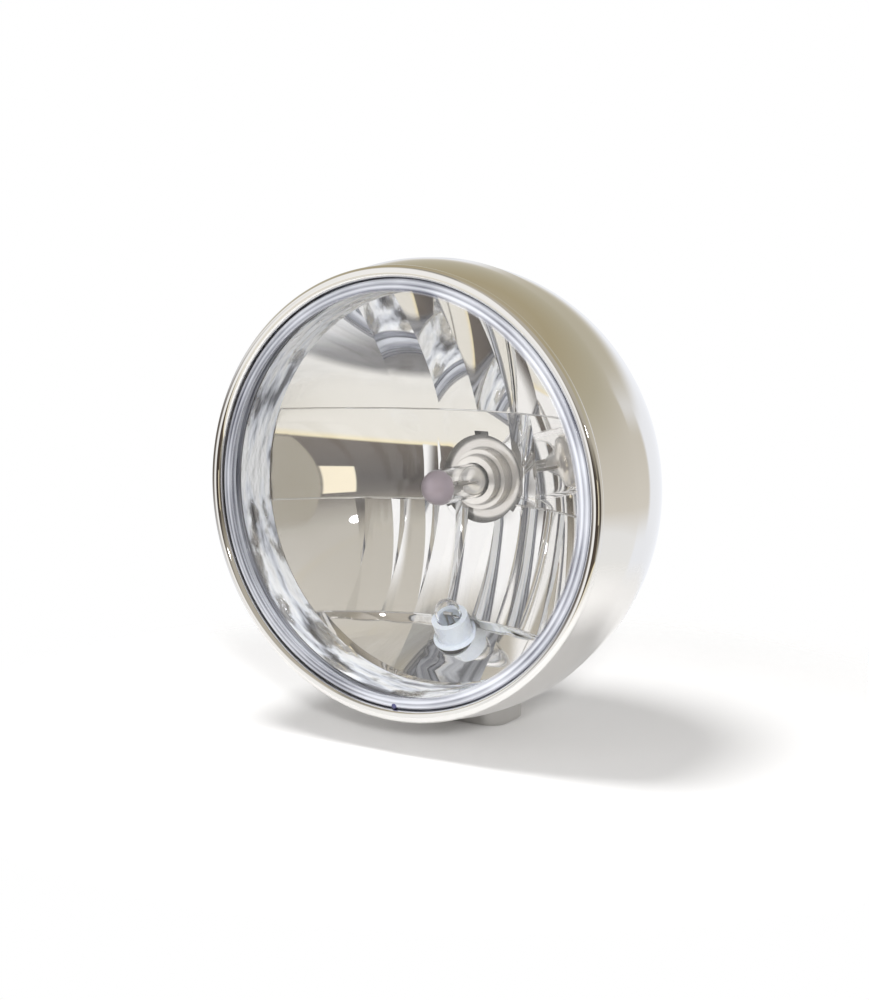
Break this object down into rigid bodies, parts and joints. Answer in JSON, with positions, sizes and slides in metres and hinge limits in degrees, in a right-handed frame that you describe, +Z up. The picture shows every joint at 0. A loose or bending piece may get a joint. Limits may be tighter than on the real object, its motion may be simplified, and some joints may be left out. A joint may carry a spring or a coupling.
{
  "type": "motorcycle headlight",
  "caption": "Round chromed motorcycle headlight with a clear domed lens, a faceted mirror reflector with main and parking bulbs, a bowl-shaped bucket and a tapped saddle mount below.",
  "frame": {"origin": "centre of the mounting seat under the bucket, at the mouth of the tapped hole", "axes": "-Y is the way the lamp shines, +X is to the right of someone who faces the lens, +Z is up and along the tapped hole"},
  "size_m": [0.196, 0.1264, 0.207],
  "materials": {
    "chrome": "bright chrome plate on steel",
    "clear_lens": "clear, polished",
    "mirror_coat": "aluminised moulding",
    "black_rubber": "matt",
    "sealant": "satin",
    "bulb_steel": "satin nickel",
    "bulb_glass": "clear, the main bulb's tip painted grey",
    "filament_wire": "drawn wire",
    "dark_plastic": "satin",
    "brass_blade": "stamped",
    "zinc_steel": "zinc plate",
    "bright_screw": "bright plate",
    "white_plastic": "translucent white"
  },
  "bodies": {
    "root": {"trim_ring": "chrome", "bucket": "chrome", "mount_saddle": "chrome", "lens": "clear_lens", "reflector": "mirror_coat", "rim_gasket": "black_rubber", "lens_seal": "sealant", "bulb_boot": "black_rubber", "parking_seal": "black_rubber", "cable_grommet": "black_rubber", "bulb_base": "bulb_steel", "bulb_glass": "bulb_glass", "bulb_filaments": "filament_wire", "bulb_insulator": "dark_plastic", "bulb_terminals": "brass_blade", "bulb_lock_ring": "zinc_steel", "parking_bulb_holder": "white_plastic", "parking_bulb_glass": "bulb_glass", "parking_bulb_filament": "filament_wire", "retaining_ring": "zinc_steel", "rim_lugs": "zinc_steel", "retaining_screws": "zinc_steel", "rim_hook": "zinc_steel", "rim_nut": "zinc_steel", "rim_screw": "bright_screw", "mount_plate": "zinc_steel", "mount_screws": "zinc_steel"}
  },
  "joints": []
}
